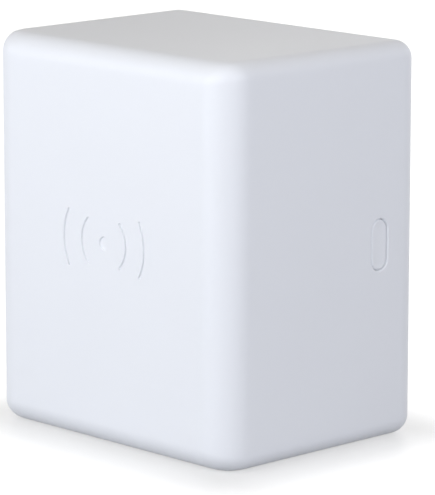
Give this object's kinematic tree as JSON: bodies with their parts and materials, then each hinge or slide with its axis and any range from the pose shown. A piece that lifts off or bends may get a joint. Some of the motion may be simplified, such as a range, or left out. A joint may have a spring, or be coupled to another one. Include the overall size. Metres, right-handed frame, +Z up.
{
  "type": "security camera base station",
  "caption": "Plug-in wireless base station: a softly rounded matt block with a flush pill-shaped sync button in its side and flat plug blades on the back.",
  "frame": {"origin": "middle of the flat bottom face", "axes": "+X to the right seen from the front, +Y back towards the wall outlet, +Z up"},
  "size_m": [0.06, 0.065, 0.07],
  "materials": {
    "white_plastic": "fine matt moulded texture",
    "steel": "zinc plated",
    "plated_brass": "nickel plated",
    "inner_plastic": "moulded",
    "board": "solder mask over glass fibre laminate",
    "ferrite": "sintered",
    "winding_tape": "polyester tape over copper",
    "capacitor_can": "sleeved can",
    "component_case": "moulded",
    "yellow_case": "moulded box",
    "blue_coating": "epoxy coating",
    "plated_steel": "tin plated sheet",
    "soft_pad": "soft filled silicone",
    "aluminium": "plain sheet",
    "sheet": "thin insulating sheet",
    "led_case": "moulded",
    "clear_plastic": "moulded clear plastic"
  },
  "bodies": {
    "housing": {"front_shell": "white_plastic", "rear_cover": "white_plastic", "cover_screws": "steel", "clamp_screws": "steel", "board_screws": "steel", "plug_blades": "plated_brass", "contact_springs": "plated_brass", "blade_clamp": "inner_plastic", "transformer_bobbin": "inner_plastic", "link_header": "inner_plastic", "link_socket": "inner_plastic", "switch_body": "inner_plastic", "power_board": "board", "radio_board": "board", "transformer_core": "ferrite", "line_choke": "ferrite", "output_inductor": "ferrite", "transformer_winding": "winding_tape", "input_capacitors": "capacitor_can", "output_capacitors": "capacitor_can", "line_fuse": "component_case", "filter_capacitor": "yellow_case", "surge_varistor": "blue_coating", "safety_capacitor": "blue_coating", "bridge_rectifier": "component_case", "power_controller": "component_case", "opto_isolator": "component_case", "output_diode": "component_case", "processor": "component_case", "memory_chip": "component_case", "wifi_chip": "component_case", "camera_radio": "component_case", "crystals": "plated_steel", "shield_frame": "plated_steel", "shield_lid": "plated_steel", "switch_cover": "plated_steel", "wifi_antennas": "plated_steel", "camera_antenna": "plated_steel", "thermal_pad": "soft_pad", "heat_spreader": "aluminium", "insulator_sheet": "sheet", "status_led": "led_case", "light_pipe": "clear_plastic"},
    "button": {"sync_button": "white_plastic"},
    "plunger": {"switch_plunger": "inner_plastic"}
  },
  "joints": [
    {"name": "sync_press", "type": "slide", "parent": "housing", "child": "button", "axis": [-1, 0, 0], "range_m": [0, 0.0003], "stiffness_N_per_m": 4000},
    {"name": "switch_press", "type": "slide", "parent": "housing", "child": "plunger", "axis": [-1, 0, 0], "range_m": [0, 0.0003]}
  ],
  "couplings": [
    {"joint": "switch_press", "follows": "sync_press", "ratio": 1}
  ]
}
